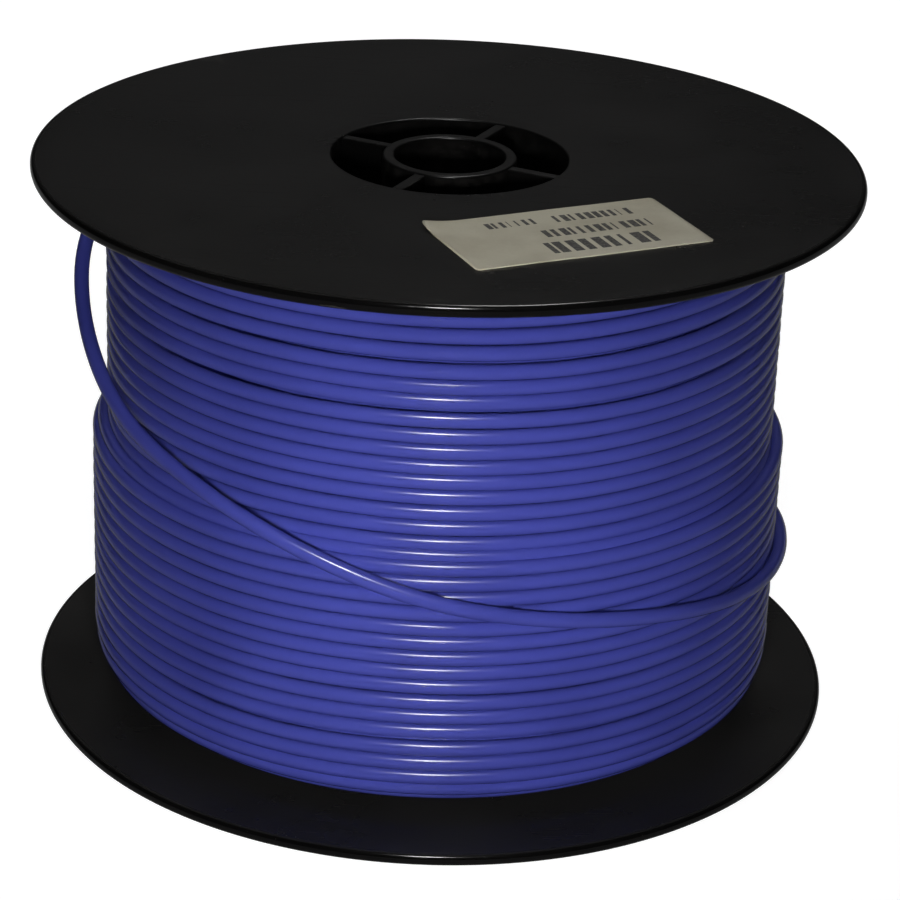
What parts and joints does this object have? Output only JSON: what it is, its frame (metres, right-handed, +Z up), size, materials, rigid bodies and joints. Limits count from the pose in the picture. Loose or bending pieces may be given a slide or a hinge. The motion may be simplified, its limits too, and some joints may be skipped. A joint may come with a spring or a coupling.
{
  "type": "wire spool",
  "caption": "Moulded spool with round flanges on a barrel and a ribbed arbor hub, wound with insulated hook-up wire, its last turn lying loose, and a paper label on the top flange.",
  "frame": {"origin": "on the spool's axis, at the underside of the bottom flange", "axes": "+Z up along the arbor bore, from the bottom flange to the labelled top flange; -Y is the front"},
  "size_m": [0.165, 0.165, 0.1138],
  "materials": {
    "flange_plastic": "smooth black injection-moulded polystyrene with a soft sheen",
    "barrel_plastic": "satin black extruded tube",
    "wire_insulation": "glossy blue-violet PVC insulation",
    "label_paper": "greyish uncoated self-adhesive paper",
    "copper": "bare stranded copper, freshly cut"
  },
  "bodies": {
    "root": {"top_flange": "flange_plastic", "bottom_flange": "flange_plastic", "barrel": "barrel_plastic", "label": "label_paper", "wound_wire": "wire_insulation", "loose_turn": "wire_insulation", "outer_end_strands": "copper", "inner_end": "wire_insulation", "inner_end_strands": "copper"}
  },
  "joints": []
}
